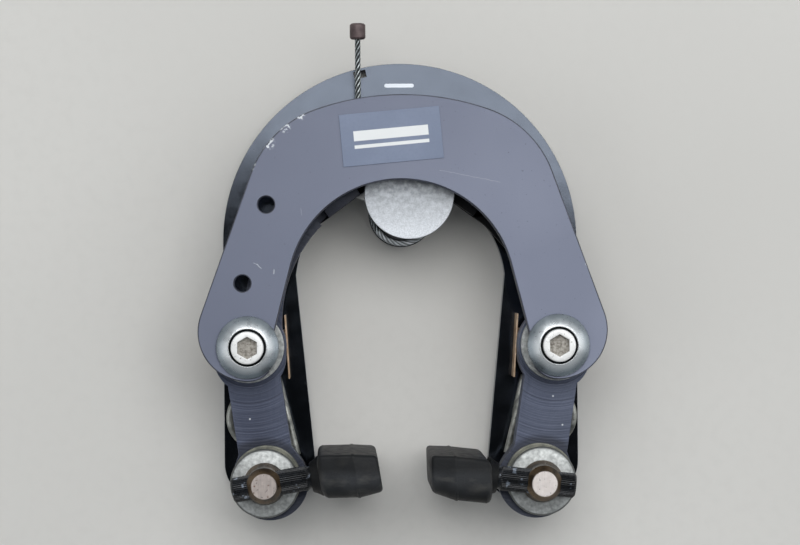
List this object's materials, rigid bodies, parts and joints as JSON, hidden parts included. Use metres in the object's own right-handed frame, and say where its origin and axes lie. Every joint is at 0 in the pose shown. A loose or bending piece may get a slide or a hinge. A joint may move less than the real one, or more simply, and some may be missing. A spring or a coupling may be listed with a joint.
{
  "type": "rim brake caliper",
  "caption": "Cam-driven rim brake caliper: a horseshoe front plate and black rear plate carry two sprung arms whose posted rubber pads close when a cable turns a drum.",
  "frame": {"origin": "midway between the two stud bores, on the back of the rear plate", "axes": "+X across the rim to the right as seen from the front, +Y up from the pivots to the cable, +Z from the back to the front plate"},
  "size_m": [0.1056, 0.1291, 0.0426],
  "materials": {
    "front_anodised": "grey purple anodised, satin",
    "arm_anodised": "dark blue purple anodised, milled",
    "black_enamel": "gloss black",
    "label_film": "blue grey film",
    "cast_cap": "speckled matt aluminium",
    "plated_washer": "dull plated steel",
    "bright_steel": "machined steel",
    "spring_steel": "spring steel",
    "cable_steel": "stranded cable",
    "bronze": "bearing bronze",
    "brown_steel": "browned steel",
    "post_black": "black splined post",
    "pad_rubber": "dusty black rubber"
  },
  "bodies": {
    "frame": {"rear_plate": "black_enamel", "front_plate": "front_anodised", "front_label": "label_film", "drum_axle": "bright_steel", "drum_screw": "bright_steel", "left_pivot_sleeve": "bright_steel", "right_pivot_sleeve": "bright_steel", "left_pivot_bolt": "bright_steel", "right_pivot_bolt": "bright_steel", "left_dome_washer": "plated_washer", "right_dome_washer": "plated_washer", "left_spacer_washer": "plated_washer", "right_spacer_washer": "plated_washer", "left_thrust_block": "bronze", "right_thrust_block": "bronze", "left_spring_post": "bright_steel", "right_spring_post": "bright_steel", "left_spring_anchor": "bright_steel", "right_spring_anchor": "bright_steel", "left_return_spring": "spring_steel", "right_return_spring": "spring_steel"},
    "left_arm": {"left_arm": "arm_anodised", "left_arm_bush": "bronze", "left_roller_link": "black_enamel", "left_link_rivets": "bright_steel", "left_roller_pin": "bright_steel", "left_spring_peg": "bright_steel", "left_seat_washer": "plated_washer", "left_pad_washer": "plated_washer", "left_eyebolt": "brown_steel", "left_lock_washer": "bright_steel", "left_eyebolt_nut": "bright_steel", "left_pad_post": "post_black", "left_brake_pad": "pad_rubber"},
    "right_arm": {"right_arm": "arm_anodised", "right_arm_bush": "bronze", "right_roller_link": "black_enamel", "right_link_rivets": "bright_steel", "right_roller_pin": "bright_steel", "right_spring_peg": "bright_steel", "right_seat_washer": "plated_washer", "right_pad_washer": "plated_washer", "right_eyebolt": "brown_steel", "right_lock_washer": "bright_steel", "right_eyebolt_nut": "bright_steel", "right_pad_post": "post_black", "right_brake_pad": "pad_rubber"},
    "left_roller": {"left_roller": "bright_steel"},
    "right_roller": {"right_roller": "bright_steel"},
    "drum": {"cable_drum": "black_enamel", "drum_cam": "bright_steel", "cam_screws": "bright_steel", "drum_cap": "cast_cap", "cable_anchor": "bright_steel", "cable_winding": "cable_steel"},
    "cable": {"cable_tail": "cable_steel", "cable_nipple": "brown_steel"}
  },
  "joints": [
    {"name": "drum_turn", "type": "hinge", "parent": "frame", "child": "drum", "pos_m": [0, 0.0342, 0], "axis": [0, 0, -1], "range_deg": [0, 30], "stiffness_Nm_per_rad": 0.012, "springref_deg": -68.75, "deforming": ["cable_winding"]},
    {"name": "left_arm_pivot", "type": "hinge", "parent": "frame", "child": "left_arm", "pos_m": [-0.04, 0, 0], "axis": [0, 0, 1], "range_deg": [0, 4.5], "deforming": ["left_return_spring"]},
    {"name": "right_arm_pivot", "type": "hinge", "parent": "frame", "child": "right_arm", "pos_m": [0.04, 0, 0], "axis": [0, 0, -1], "range_deg": [0, 4.5], "deforming": ["right_return_spring"]},
    {"name": "cable_slide", "type": "slide", "parent": "frame", "child": "cable", "axis": [-0.075, 0.9972, 0], "range_m": [0, 0.00403], "deforming": ["cable_tail"]},
    {"name": "left_roller_spin", "type": "hinge", "parent": "left_arm", "child": "left_roller", "pos_m": [-0.0069, 0.0494, 0], "axis": [0, 0, 1], "continuous": true},
    {"name": "right_roller_spin", "type": "hinge", "parent": "right_arm", "child": "right_roller", "pos_m": [0.0069, 0.0494, 0], "axis": [0, 0, 1], "continuous": true}
  ],
  "couplings": [
    {"joint": "left_arm_pivot", "follows": "drum_turn", "ratio": 0.15},
    {"joint": "right_arm_pivot", "follows": "drum_turn", "ratio": 0.15},
    {"joint": "cable_slide", "follows": "drum_turn", "m_per_rad": 0.0076}
  ]
}
